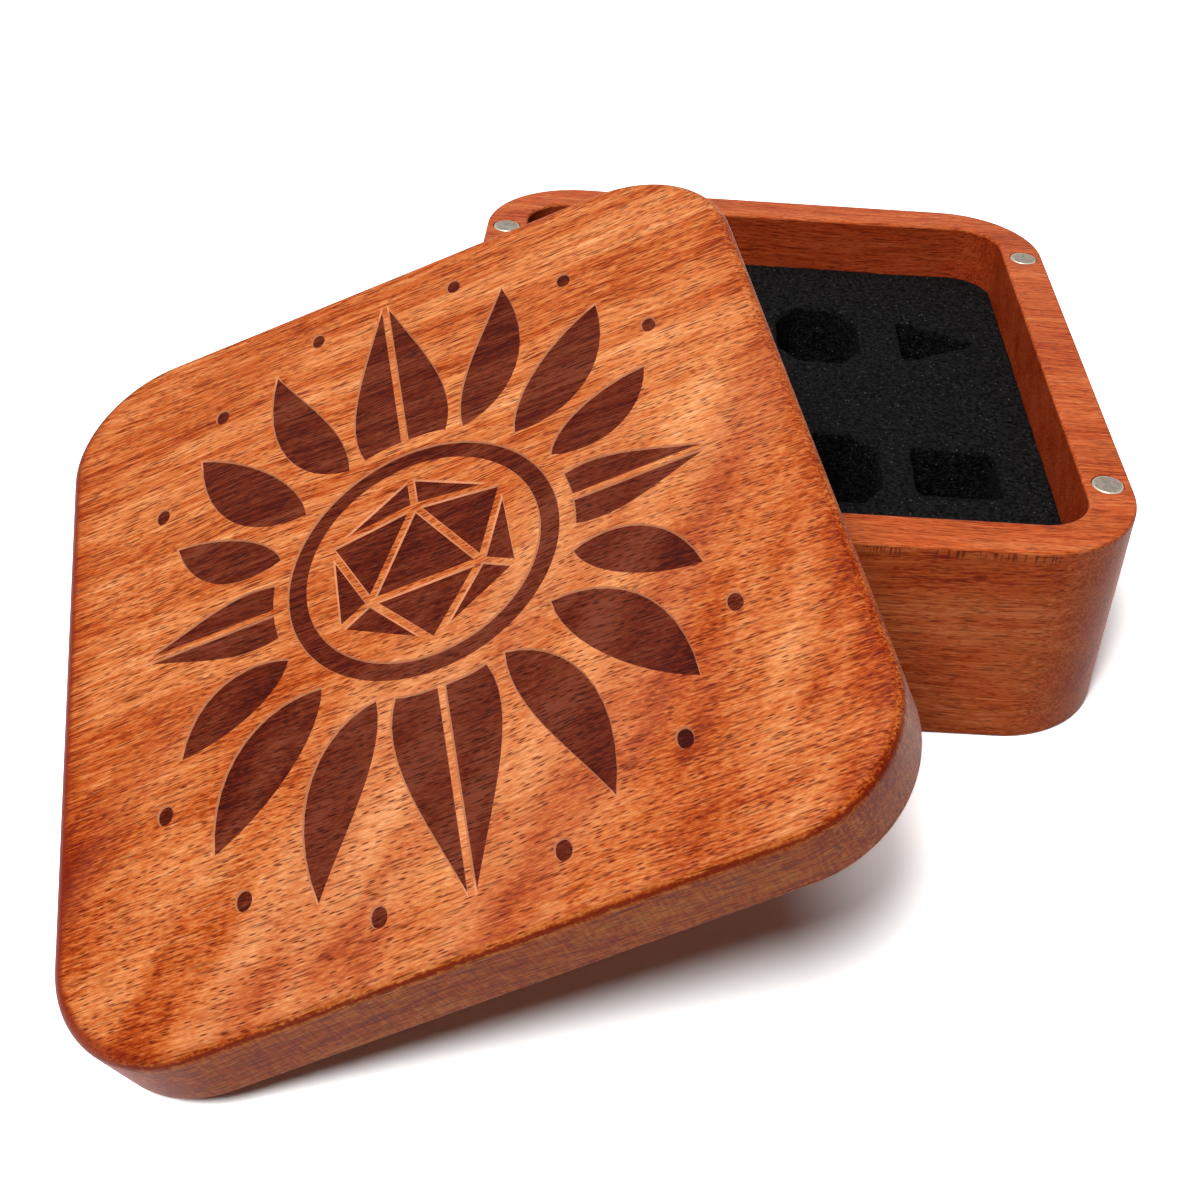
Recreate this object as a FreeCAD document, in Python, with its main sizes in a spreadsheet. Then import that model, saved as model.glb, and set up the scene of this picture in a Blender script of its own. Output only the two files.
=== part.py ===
import FreeCAD, Part
import os
from math import cos, radians, sin

import Sketcher

# Dice storage chest: a routed hardwood box, a loose hardwood lid held by disc magnets,
# and a cut foam tray for a set of seven dice.
# The box stands on its underside, with the origin at the centre of that face and +Z up.
# The lid leans on the front left corner of the rim, with its lowest corner on the table.
# Sizes are in millimetres and angles in degrees.

DRIVING_SIZES = {
    # outline of the closed chest, seen from above
    "chest_width": 127.0,
    "chest_depth": 140.0,
    "corner_radius": 21.0,
    # routed box
    "box_height": 42.0,
    "wall_thickness": 9.0,
    "floor_thickness": 6.0,
    "cavity_radius": 9.5,
    "edge_ease": 0.6,
    # lid
    "lid_thickness": 13.0,
    "lid_roundover": 2.2,
    "lid_ease": 0.4,
    # disc magnets, glued into blind bores
    "magnet_diameter": 6.0,
    "magnet_thickness": 3.0,
    "magnet_chamfer": 0.25,
    "glue_gap": 0.1,
    "magnet_side_inset": 4.5,
    "magnet_end_inset": 23.0,
    # foam: an uncut base sheet under a die-cut tray
    "base_sheet_thickness": 6.0,
    "tray_thickness": 18.0,
    "foam_gap": 0.2,
    "pocket_corner": 1.0,
    # the pockets' grid, and the size of the pocket for each die
    "column_pitch": 24.0,
    "row_offset": 27.0,
    "four_side": 19.5,
    "six_side": 16.5,
    "eight_across": 20.0,
    "ten_width": 18.0,
    "ten_length": 24.0,
    "ten_end_flat": 9.0,
    "ten_side_flat": 12.0,
    "twelve_across": 21.5,
    "twenty_across": 24.0,
    # how the lid leans: slope, compass direction of downhill, turn about its own normal,
    # sideways shift along the slope, and the room left under it at the rim
    "lean_tilt": 26.8,
    "lean_heading": -142.8,
    "lean_turn": 154.1,
    "lean_offset": 21.6,
    "lean_gap": 0.1,
}

CORNERS = {
    "front_left": (-1, -1),
    "front_right": (1, -1),
    "back_left": (-1, 1),
    "back_right": (1, 1),
}

TOLERANCE = 0.001
# how far a cut may miss its planned volume, as a share of it: bores and pockets open onto eased edges
VOLUME_SHARE = 0.01

doc = FreeCAD.newDocument("DiceChest")
sheet = doc.addObject("Spreadsheet::Sheet", "Sizes")
for row, (name, value) in enumerate(DRIVING_SIZES.items(), start=1):
    sheet.set(f"A{row}", name)
    sheet.set(f"B{row}", str(value))
    sheet.setAlias(f"B{row}", name)
doc.recompute()


def size(expression):
    """The present value of an expression on the sheet's cells."""
    return float(sheet.evalExpression(expression))


def new_body(name):
    """An empty body, whose label names the sub-part."""
    body = doc.addObject("PartDesign::Body", name)
    body.Label = name
    return body


def new_sketch(body, name, height=""):
    """A sketch on the body's own XY plane, lifted by the height expression."""
    sketch = body.newObject("Sketcher::SketchObject", f"{body.Name}_{name}")
    level = [plane for plane in body.Origin.OriginFeatures if plane.Role == "XY_Plane"][0]
    sketch.AttachmentSupport = [(level, "")]
    sketch.MapMode = "FlatFace"
    if height:
        sketch.setExpression("AttachmentOffset.Base.z", height)
    return sketch


def drive(sketch, kind, *places, to):
    """Add a dimension that follows the expression."""
    index = sketch.addConstraint(Sketcher.Constraint(kind, *places, size(to)))
    sketch.setExpression(f"Constraints[{index}]", to)


def draw_rounded_rectangle(sketch, width, depth, radius):
    """A rectangle centred on the origin, with four equal round corners."""
    bend = size(radius)
    reach_x = size(width) / 2 - bend
    reach_y = size(depth) / 2 - bend
    arcs = []
    for quarter, (side, end) in enumerate(((1, 1), (-1, 1), (-1, -1), (1, -1))):
        centre = FreeCAD.Vector(side * reach_x, end * reach_y, 0)
        circle = Part.Circle(centre, FreeCAD.Vector(0, 0, 1), bend)
        start = radians(90 * quarter)
        arcs.append(sketch.addGeometry(Part.ArcOfCircle(circle, start, start + radians(90))))
    for quarter, arc in enumerate(arcs):
        following = arcs[(quarter + 1) % 4]
        near = sketch.Geometry[arc].EndPoint
        far = sketch.Geometry[following].StartPoint
        line = sketch.addGeometry(Part.LineSegment(near, far))
        sketch.addConstraint(Sketcher.Constraint("Tangent", arc, 2, line, 1))
        sketch.addConstraint(Sketcher.Constraint("Tangent", line, 2, following, 1))
        sketch.addConstraint(Sketcher.Constraint("Vertical" if quarter % 2 else "Horizontal", line))
    for arc in arcs[1:]:
        sketch.addConstraint(Sketcher.Constraint("Equal", arcs[0], arc))
    sketch.addConstraint(Sketcher.Constraint("Symmetric", arcs[0], 3, arcs[2], 3, -1, 1))
    drive(sketch, "Radius", arcs[0], to=radius)
    drive(sketch, "DistanceX", arcs[1], 3, arcs[0], 3, to=f"{width} - 2 * ({radius})")
    drive(sketch, "DistanceY", arcs[3], 3, arcs[0], 3, to=f"{depth} - 2 * ({radius})")


def draw_circle(sketch, radius, across, along):
    """A circle whose centre follows two expressions."""
    centre = FreeCAD.Vector(size(across), size(along), 0)
    circle = sketch.addGeometry(Part.Circle(centre, FreeCAD.Vector(0, 0, 1), size(radius)))
    drive(sketch, "Radius", circle, to=radius)
    drive(sketch, "DistanceX", -1, 1, circle, 3, to=across)
    drive(sketch, "DistanceY", -1, 1, circle, 3, to=along)


def draw_outline(sketch, corners):
    """A closed outline of straight sides through corners that follow expressions."""
    points = [FreeCAD.Vector(size(across), size(along), 0) for across, along in corners]
    lines = []
    for near, far in zip(points, points[1:] + points[:1]):
        lines.append(sketch.addGeometry(Part.LineSegment(near, far)))
    for line, following in zip(lines, lines[1:] + lines[:1]):
        sketch.addConstraint(Sketcher.Constraint("Coincident", line, 2, following, 1))
    for line, (across, along) in zip(lines, corners):
        drive(sketch, "DistanceX", -1, 1, line, 1, to=across)
        drive(sketch, "DistanceY", -1, 1, line, 1, to=along)


def pad(body, sketch, length):
    """Raise the sketch into a solid."""
    feature = body.newObject("PartDesign::Pad", f"{sketch.Name}_pad")
    feature.Profile = sketch
    feature.setExpression("Length", length)
    sketch.Visibility = False
    doc.recompute()
    return feature


def pocket(body, sketch, depth, upward=False):
    """Cut the sketch down, or up, into the solid, and make sure that it cuts."""
    before = body.Shape.Volume
    feature = body.newObject("PartDesign::Pocket", f"{sketch.Name}_pocket")
    feature.Profile = sketch
    feature.Reversed = upward
    feature.setExpression("Length", depth)
    doc.recompute()
    removed = before - feature.Shape.Volume
    section = Part.Face(sketch.Shape.Wires, "Part::FaceMakerBullseye")
    if abs(removed - section.Area * size(depth)) > VOLUME_SHARE * removed:
        raise RuntimeError(f"{feature.Name} removed {removed:.1f} cubic millimetres")
    return feature


def soften(body, kind, base, amount, chosen):
    """Round or bevel the edges of the base that the test picks."""
    edges = [f"Edge{i}" for i, edge in enumerate(base.Shape.Edges, start=1) if chosen(edge)]
    feature = body.newObject(f"PartDesign::{kind}", f"{base.Name}_{kind.lower()}")
    feature.Base = (base, edges)
    feature.setExpression("Radius" if kind == "Fillet" else "Size", amount)
    doc.recompute()
    return feature


def lies_at(height):
    """A test for edges that lie level at this height."""

    def test(edge):
        box = edge.BoundBox
        return abs(box.ZMin - height) < TOLERANCE and abs(box.ZMax - height) < TOLERANCE

    return test


def magnet_place(corner):
    """Expressions for the middle of the magnet nearest to this corner."""
    side, end = CORNERS[corner]
    across = f"{side} * (Sizes.chest_width / 2 - Sizes.magnet_side_inset)"
    along = f"{end} * (Sizes.chest_depth / 2 - Sizes.magnet_end_inset)"
    return across, along


def cut_magnet_bores(body, height="", upward=False):
    """Four flat-bottomed bores, each one glue line wider than its magnet."""
    sketch = new_sketch(body, "magnet_bores", height)
    for corner in CORNERS:
        draw_circle(sketch, "Sizes.magnet_diameter / 2 + Sizes.glue_gap", *magnet_place(corner))
    return pocket(body, sketch, "Sizes.magnet_thickness", upward)


def make_box():
    """A block with rounded corners, routed out to even walls, its rim eased round and its base bevelled."""
    body = new_body("box_body")
    outline = new_sketch(body, "outline")
    draw_rounded_rectangle(outline, "Sizes.chest_width", "Sizes.chest_depth", "Sizes.corner_radius")
    pad(body, outline, "Sizes.box_height")
    mouth = new_sketch(body, "mouth", "Sizes.box_height")
    draw_rounded_rectangle(
        mouth,
        "Sizes.chest_width - 2 * Sizes.wall_thickness",
        "Sizes.chest_depth - 2 * Sizes.wall_thickness",
        "Sizes.cavity_radius",
    )
    hollow = pocket(body, mouth, "Sizes.box_height - Sizes.floor_thickness")
    rim = lies_at(size("Sizes.box_height"))
    rounded = soften(body, "Fillet", hollow, "Sizes.edge_ease", rim)
    soften(body, "Chamfer", rounded, "Sizes.edge_ease", lies_at(0))
    cut_magnet_bores(body, "Sizes.box_height")
    return body


def make_lid():
    """A flat board on the box's outline, with a rounded upper edge and a crisp lower one."""
    body = new_body("lid")
    outline = new_sketch(body, "outline")
    draw_rounded_rectangle(outline, "Sizes.chest_width", "Sizes.chest_depth", "Sizes.corner_radius")
    board = pad(body, outline, "Sizes.lid_thickness")
    upper = lies_at(size("Sizes.lid_thickness"))
    rounded = soften(body, "Fillet", board, "Sizes.lid_roundover", upper)
    soften(body, "Chamfer", rounded, "Sizes.lid_ease", lies_at(0))
    cut_magnet_bores(body, upward=True)
    return body


def make_magnet(name):
    """A plated disc with bevelled rims, standing on its own origin."""
    body = new_body(name)
    outline = new_sketch(body, "outline")
    circle = outline.addGeometry(Part.Circle())
    outline.addConstraint(Sketcher.Constraint("Coincident", circle, 3, -1, 1))
    drive(outline, "Diameter", circle, to="Sizes.magnet_diameter")
    disc = pad(body, outline, "Sizes.magnet_thickness")
    soften(body, "Chamfer", disc, "Sizes.magnet_chamfer", lambda edge: edge.Closed)
    return body


def foam_sheet(name, thickness):
    """A sheet of foam that fills the cavity from wall to wall."""
    body = new_body(name)
    outline = new_sketch(body, "outline")
    draw_rounded_rectangle(
        outline,
        "Sizes.chest_width - 2 * (Sizes.wall_thickness + Sizes.foam_gap)",
        "Sizes.chest_depth - 2 * (Sizes.wall_thickness + Sizes.foam_gap)",
        "Sizes.cavity_radius - Sizes.foam_gap",
    )
    pad(body, outline, thickness)
    return body


def regular_outline(sides, across, turn=0):
    """The corners of a regular figure, given the width across its corners."""
    corners = []
    for corner in range(sides):
        angle = turn + corner * 360 / sides
        corners.append((f"{across} / 2 * cos({angle} deg)", f"{across} / 2 * sin({angle} deg)"))
    return corners


def ten_outline():
    """The eight corners of the long pocket for a ten-sided die, flat at each end and side."""
    corners = []
    for side, end in ((1, 1), (-1, 1), (-1, -1), (1, -1)):
        flat_side = (f"{side} * Sizes.ten_width / 2", f"{end} * Sizes.ten_side_flat / 2")
        flat_end = (f"{side} * Sizes.ten_end_flat / 2", f"{end} * Sizes.ten_length / 2")
        corners += [flat_side, flat_end] if side == end else [flat_end, flat_side]
    return corners


def pocket_outlines():
    """Each pocket's column, row and corners. A row of 1 is at the back, and -1 at the front."""
    ten = ten_outline()
    return [
        (1.5, 1, regular_outline(3, "2 * Sizes.four_side / sqrt(3)")),
        (1.5, -1, regular_outline(4, "Sizes.six_side * sqrt(2)", turn=45)),
        (0.5, 1, ten),
        (0.5, -1, ten),
        (-0.5, 1, regular_outline(10, "Sizes.twelve_across", turn=18)),
        (-0.5, -1, regular_outline(6, "Sizes.eight_across", turn=30)),
        (-1.5, 0, regular_outline(6, "Sizes.twenty_across", turn=30)),
    ]


def make_tray():
    """The upper foam sheet, cut through with one pocket for each die."""
    body = foam_sheet("foam_tray", "Sizes.tray_thickness")
    sketch = new_sketch(body, "die_cut", "Sizes.tray_thickness")
    for column, row, corners in pocket_outlines():
        placed = []
        for across, along in corners:
            x = f"{column} * Sizes.column_pitch + {across}"
            y = f"{row} * Sizes.row_offset + {along}"
            placed.append((x, y))
        draw_outline(sketch, placed)
    cut = pocket(body, sketch, "Sizes.tray_thickness")
    drawn = [vertex.Point for vertex in sketch.Shape.Vertexes]

    def is_pocket_corner(edge):
        box = edge.BoundBox
        upright = box.ZLength > size("Sizes.tray_thickness") - TOLERANCE
        top = FreeCAD.Vector(box.Center.x, box.Center.y, box.ZMax)
        return upright and any(top.isEqual(corner, TOLERANCE) for corner in drawn)

    soften(body, "Fillet", cut, "Sizes.pocket_corner", is_pocket_corner)
    return body


def lean_placement():
    """Where the lid stands: its underside touches the rim and its lowest corner the table."""
    tilt = radians(size("Sizes.lean_tilt"))
    heading = radians(size("Sizes.lean_heading"))
    turn = radians(size("Sizes.lean_turn"))
    radius = size("Sizes.corner_radius")
    straight_x = size("Sizes.chest_width") / 2 - radius
    straight_y = size("Sizes.chest_depth") / 2 - radius
    height = size("Sizes.box_height")
    # the rim point furthest along the heading, on the round of the front left corner
    rim_point = FreeCAD.Vector(
        radius * cos(heading) - straight_x,
        radius * sin(heading) - straight_y,
        height,
    )
    downhill = FreeCAD.Vector(cos(tilt) * cos(heading), cos(tilt) * sin(heading), -sin(tilt))
    normal = FreeCAD.Vector(sin(tilt) * cos(heading), sin(tilt) * sin(heading), cos(tilt))
    across = normal.cross(downhill)
    lid_x = downhill * cos(turn) + across * sin(turn)
    lid_y = normal.cross(lid_x)
    # from the lid's middle to its lowest point, and from the rim point to the table
    reach = straight_x * abs(cos(turn)) + straight_y * abs(sin(turn)) + radius
    slope_length = height / sin(tilt)
    middle = rim_point + downhill * (slope_length - reach)
    middle += across * size("Sizes.lean_offset") + normal * size("Sizes.lean_gap")
    return FreeCAD.Placement(middle, FreeCAD.Rotation(lid_x, lid_y, normal, "ZXY"))


def make_magnets(prefix, home, level):
    """Four magnets at the bores of the box or the lid that the home placement puts in place."""
    magnets = []
    for corner in CORNERS:
        across, along = magnet_place(corner)
        magnet = make_magnet(f"{prefix}_magnet_{corner}")
        seat = FreeCAD.Placement(FreeCAD.Vector(size(across), size(along), level), FreeCAD.Rotation())
        magnet.Placement = home * seat
        magnets.append(magnet)
    return magnets


def check(items):
    """Stop if any object failed, or if a sub-part isn't one sound solid."""
    for item in doc.Objects:
        if "Invalid" in item.State or "Error" in item.State:
            raise RuntimeError(f"{item.Name} is {item.State}")
    for item in items:
        shape = item.Shape
        if shape.isNull() or not shape.isValid() or len(shape.Solids) != 1:
            raise RuntimeError(f"{item.Label} is not one sound solid")


box_body = make_box()
base_sheet = foam_sheet("foam_base_sheet", "Sizes.base_sheet_thickness")
base_sheet.setExpression("Placement.Base.z", "Sizes.floor_thickness")
tray = make_tray()
tray.setExpression("Placement.Base.z", "Sizes.floor_thickness + Sizes.base_sheet_thickness")
lid = make_lid()
lid.Placement = lean_placement()
parts = [box_body, base_sheet, tray, lid]
parts += make_magnets("box", FreeCAD.Placement(), size("Sizes.box_height - Sizes.magnet_thickness"))
parts += make_magnets("lid", lid.Placement, 0)
doc.recompute()
check(parts)

os.makedirs("parts", exist_ok=True)
for part in parts:
    part.Shape.exportStep(f"parts/{part.Label}.step")
    box = part.Shape.BoundBox
    low = f"{box.XMin:.2f} {box.YMin:.2f} {box.ZMin:.2f}"
    high = f"{box.XMax:.2f} {box.YMax:.2f} {box.ZMax:.2f}"
    print(f"{part.Label}: {part.Shape.Volume:.0f} mm3, from {low} to {high}")
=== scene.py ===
from math import atan2, pi, radians

import bmesh
import bpy
from mathutils import Matrix, Vector, noise


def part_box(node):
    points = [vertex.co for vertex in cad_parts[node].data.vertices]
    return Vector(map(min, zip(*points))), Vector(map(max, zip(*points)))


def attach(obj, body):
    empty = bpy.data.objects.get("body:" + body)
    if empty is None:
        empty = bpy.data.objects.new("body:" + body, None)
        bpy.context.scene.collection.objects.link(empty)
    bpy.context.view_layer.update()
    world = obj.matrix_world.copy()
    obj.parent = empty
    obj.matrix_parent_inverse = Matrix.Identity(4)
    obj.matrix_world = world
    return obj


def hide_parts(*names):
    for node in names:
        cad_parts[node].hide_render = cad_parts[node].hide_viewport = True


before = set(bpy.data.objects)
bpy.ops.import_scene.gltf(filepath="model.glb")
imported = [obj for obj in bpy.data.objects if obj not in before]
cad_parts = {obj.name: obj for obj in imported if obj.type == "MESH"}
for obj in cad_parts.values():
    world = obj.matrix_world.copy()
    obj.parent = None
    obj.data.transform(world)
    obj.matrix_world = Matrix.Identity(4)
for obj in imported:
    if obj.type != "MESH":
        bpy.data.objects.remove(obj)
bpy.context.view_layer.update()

# A dice chest of oiled padauk: a routed box with a foam tray, and a loose engraved lid that
# leans on the box's rim. Lengths are in millimetres until a piece is finished, and then metres.

MM = 0.001
WIDTH, DEPTH, CORNER_RADIUS = 127, 140, 21
BOX_HEIGHT, WALL, FLOOR = 42, 9, 6
CAVITY_RADIUS = 9.5
EDGE_EASE = 0.6
LID_THICKNESS, LID_ROUNDOVER, LID_EASE = 13, 2.2, 0.4
BORE_RADIUS, BORE_DEPTH = 3.1, 3
# How far each magnet is from the middle of its board, along the board's width and its depth.
MAGNET_PLACE = (59, 47)
TRAY_BOTTOM, TRAY_TOP = 12, 30
# The room left round the foam, and under its base sheet.
FOAM_GAP, SHEET_GAP = 0.2, 0.1
ENGRAVED_DEPTH, ENGRAVED_SLOPE = 0.35, 0.18

scene = bpy.context.scene


# ---------------------------------------------------------------- materials

def linear(code):
    """An sRGB hex colour as linear red, green, blue and alpha."""
    channels = [int(code[i : i + 2], 16) / 255 for i in (1, 3, 5)]
    return [c / 12.92 if c <= 0.04045 else ((c + 0.055) / 1.055) ** 2.4 for c in channels] + [1]


def add(tree, kind, sockets=None, stops=None, **settings):
    """A node with its settings made and its sockets given values or links.
    stops are a ramp's places and colours."""
    node = tree.nodes.new(kind)
    for name, value in settings.items():
        setattr(node, name, value)
    for name, value in (sockets or {}).items():
        if isinstance(value, bpy.types.NodeSocket):
            tree.links.new(value, node.inputs[name])
        else:
            node.inputs[name].default_value = value
    for i, (place, colour) in enumerate(stops or []):
        ramp = node.color_ramp.elements
        stop = ramp[i] if i < 2 else ramp.new(place)
        stop.position, stop.color = place, linear(colour)
    return node


def new_material(name):
    """An empty node material and its tree."""
    material = bpy.data.materials.new(name)
    material.use_nodes = True
    material.node_tree.nodes.clear()
    return material, material.node_tree


def board_coordinates(tree, home):
    """Millimetres along the board's own axes, with X along the grain."""
    place = add(tree, "ShaderNodeTexCoord").outputs["Object"]
    turned = add(
        tree, "ShaderNodeMapping",
        {
            "Vector": place,
            "Location": home.to_translation(), "Rotation": home.to_euler(), "Scale": (MM, MM, MM),
        },
        vector_type="TEXTURE",
    )
    return turned.outputs["Vector"]


# Mix nodes have a set of sockets for each type of value; these are the ones for colours.
SHARE, FIRST, SECOND, MIXED = 0, 6, 7, 2


# Layers of the wood's streaks: the length and breadth of a streak in millimetres, and how much the
# layer counts where the wood is plain and where it is figured.
STREAKS = [
    (6, 0.24, 1.6, 1.0),  # the finest fibre that shows
    (1.2, 0.3, 0.7, 1.3),  # short flecks, where the fibre dips in and out of the cut
    (30, 0.9, 1.0, 0.45),  # fibre
    (90, 6, 1.1, 0.4),  # growth
]
# The grain wanders across the board and through it by a share of this many millimetres, over 50 mm.
DRIFT_REACH, DRIFT_SCALE = (0, 6, 5), 0.02
# The figure is bands 8 to 12 mm wide that cross the grain at a slant: their turn, the room that each
# has, and how much they count in plain and in figured wood.
FIGURE_TURN, FIGURE_ROOM, FIGURE_WEIGHTS = radians(-33), (11, 48, 30), (0.2, 1.9)
# The colour of the rosy patches among the figure, and their strongest share.
ROSY, ROSY_SHARE = "#B4664A", 0.22

# Layers of open pores: the length and breadth of the room round a pore, and how dark the pores are
# in plain and in figured wood.
PORES = [(7, 0.5, 1.0, 0.75), (2.2, 0.44, 0.85, 1.0)]
PORE_COLOUR = "#5E1606"
# How far from its middle a pore starts to show, and where it is full.
PORE_OUTSIDE, PORE_INSIDE = 0.38, 0.16
# The share of pores that are fainter than the rest.
FAINT_PORES = 0.35
# The height of a full swing of tone, and the depth of a pore.
FIBRE_RELIEF, PORE_DEPTH = 0.015, 0.03

# Where a board's top ends and its narrow sides begin, by how far they are inside its outline.
TOP_ENDS, SIDE_BEGINS = -1.2, -0.4
# The room of a stroke of the saw's hatch on the sides, how much it counts, and the sides' tint.
SAW_HATCH, HATCH_WEIGHT, SIDE_TINT = (0.5, 0.5, 3), 0.9, "#FFF1D4"
# How far the oil has soaked in from the outline, and how much it darkens the tone.
SOAK_STARTS, SOAK_ENDS, SOAK_DEPTH = -5, -1, 0.1
# How far the line round the upper edge strays up and down, its strongest share of the colour, and how
# much of its width has that share.
LINE_STRAY, LINE_SHARE, LINE_CORE = 1.6, 0.9, 0.4
# Where the line thins out up the right-hand side: across and along the board.
THIN_ACROSS, THIN_ALONG = (52, 61), (-64, -46)
# Where it runs higher down the left-hand side, partly as painted shade: across the board, and inside its
# outline.
LEFT_ACROSS, LEFT_INSIDE = (CORNER_RADIUS - WIDTH / 2, 4 - WIDTH / 2), (-2.5, -1.6)
# The torn fibre under an edge: the room of a tick, its strongest share and its colour.
TICK_SIZE, TICK_SHARE, TICK_COLOUR = (0.5, 9, 5), 0.8, "#4E1206"


def from_outline(tree, board):
    """How far a point is inside the board's outline, seen from above, as negative millimetres."""
    folded = add(tree, "ShaderNodeVectorMath", {0: board}, operation="ABSOLUTE").outputs[0]
    # the third number is out of reach, so that height never counts
    straight = (WIDTH / 2 - CORNER_RADIUS, DEPTH / 2 - CORNER_RADIUS, 1000)
    past = add(tree, "ShaderNodeVectorMath", {0: folded, 1: straight}, operation="SUBTRACT").outputs[0]
    past = add(tree, "ShaderNodeVectorMath", {0: past, 1: (0, 0, 0)}, operation="MAXIMUM").outputs[0]
    reach = add(tree, "ShaderNodeVectorMath", {0: past}, operation="LENGTH").outputs["Value"]
    return add(tree, "ShaderNodeMath", {0: reach, 1: CORNER_RADIUS}, operation="SUBTRACT").outputs[0]


def share_inside(tree, limits, most=None):
    """A share that is full only where every value is past its second limit, and none before its first.
    It is no more than most, where that is given."""
    share = most
    for value, start, end in limits:
        part = add(
            tree, "ShaderNodeMapRange", {"Value": value, "From Min": start, "From Max": end}
        ).outputs[0]
        if share is not None:
            part = add(tree, "ShaderNodeMath", {0: part, 1: share}, operation="MULTIPLY").outputs[0]
        share = part
    return share


def drift_grain(tree, board):
    """The board's coordinates with the grain a few millimetres off straight along it."""
    drift = add(tree, "ShaderNodeTexNoise", {"Vector": board, "Scale": DRIFT_SCALE, "Detail": 1})
    offset = add(
        tree, "ShaderNodeVectorMath", {0: drift.outputs["Color"], 1: (0.5, 0.5, 0.5)}, operation="SUBTRACT"
    )
    return add(
        tree, "ShaderNodeVectorMath", {0: offset.outputs[0], 1: DRIFT_REACH, 2: board},
        operation="MULTIPLY_ADD",
    ).outputs[0]


def lay_streaks(tree, drifted, crossing, zone, contrast):
    """The tone of the fibre and of the figure, about 0.5."""
    layers = [(crossing, *FIGURE_WEIGHTS)]
    for length, breadth, plain, rich in STREAKS:
        stretched = add(
            tree, "ShaderNodeMapping", {"Vector": drifted, "Scale": (length, breadth, breadth)},
            vector_type="TEXTURE",
        ).outputs[0]
        layers.append((stretched, plain, rich))
    tone = 0.5
    for place, plain, rich in layers:
        fibre = add(
            tree, "ShaderNodeTexNoise", {"Vector": place, "Scale": 1, "Detail": 2.5, "Roughness": 0.55}
        )
        weight = add(
            tree, "ShaderNodeMapRange",
            {"Value": zone, "To Min": plain * contrast, "To Max": rich * contrast},
        ).outputs[0]
        swing = add(
            tree, "ShaderNodeMath", {0: fibre.outputs["Fac"], 1: 0.5}, operation="SUBTRACT"
        ).outputs[0]
        tone = add(
            tree, "ShaderNodeMath", {0: swing, 1: weight, 2: tone}, operation="MULTIPLY_ADD"
        ).outputs[0]
    return tone


def hatch_sides(tree, board, side, tone):
    """Give the narrow sides the fine upright hatch of the saw."""
    hatch = add(
        tree, "ShaderNodeMapping", {"Vector": board, "Scale": SAW_HATCH}, vector_type="TEXTURE"
    ).outputs[0]
    hatch = add(tree, "ShaderNodeTexNoise", {"Vector": hatch, "Scale": 1, "Detail": 2}).outputs["Fac"]
    hatch = add(tree, "ShaderNodeMath", {0: hatch, 1: 0.5}, operation="SUBTRACT").outputs[0]
    hatch = add(tree, "ShaderNodeMath", {0: hatch, 1: side}, operation="MULTIPLY").outputs[0]
    return add(
        tree, "ShaderNodeMath", {0: hatch, 1: HATCH_WEIGHT, 2: tone}, operation="MULTIPLY_ADD"
    ).outputs[0]


def lay_marks(tree, drifted, tone, marks):
    """Darken or lighten the tone where the board has marks."""
    for x, y, length, breadth, angle, depth in marks:
        spot = add(
            tree, "ShaderNodeMapping",
            {
                "Vector": drifted,
                "Location": (x, y, 0), "Rotation": (0, 0, radians(angle)), "Scale": (length, breadth, 60),
            },
            vector_type="TEXTURE",
        )
        glow = add(
            tree, "ShaderNodeTexGradient", {"Vector": spot.outputs[0]}, gradient_type="QUADRATIC_SPHERE"
        )
        tone = add(
            tree, "ShaderNodeMath", {0: glow.outputs["Fac"], 1: -depth, 2: tone}, operation="MULTIPLY_ADD"
        ).outputs[0]
    return tone


def patches(tree, place, scale, detail, limits, most):
    """A share that rises to its most in soft patches."""
    cloud = add(tree, "ShaderNodeTexNoise", {"Vector": place, "Scale": scale, "Detail": detail})
    start, end = limits
    return add(
        tree, "ShaderNodeMapRange",
        {"Value": cloud.outputs["Fac"], "From Min": start, "From Max": end, "To Max": most},
    ).outputs[0]


def open_pores(tree, drifted, zone):
    """How dark the pores are: open vessels 0.2 mm wide, as dashes 2 to 6 mm long along the cut."""
    shade = 0.0
    for length, breadth, plain, rich in PORES:
        rooms = add(
            tree, "ShaderNodeMapping", {"Vector": drifted, "Scale": (length, breadth, breadth)},
            vector_type="TEXTURE",
        )
        vessels = add(tree, "ShaderNodeTexVoronoi", {"Vector": rooms.outputs[0], "Scale": 1})
        inside = add(
            tree, "ShaderNodeMapRange",
            {"Value": vessels.outputs["Distance"], "From Min": PORE_OUTSIDE, "From Max": PORE_INSIDE},
        ).outputs[0]
        chance = add(tree, "ShaderNodeSeparateXYZ", {0: vessels.outputs["Color"]}).outputs[0]
        present = add(
            tree, "ShaderNodeMapRange", {"Value": chance, "From Min": 0, "From Max": FAINT_PORES}
        ).outputs[0]
        depth = add(
            tree, "ShaderNodeMapRange", {"Value": zone, "To Min": plain, "To Max": rich}
        ).outputs[0]
        dashes = add(tree, "ShaderNodeMath", {0: inside, 1: present}, operation="MULTIPLY").outputs[0]
        dashes = add(tree, "ShaderNodeMath", {0: dashes, 1: depth}, operation="MULTIPLY").outputs[0]
        shade = add(tree, "ShaderNodeMath", {0: dashes, 1: shade}, operation="MAXIMUM").outputs[0]
    return shade


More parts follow.
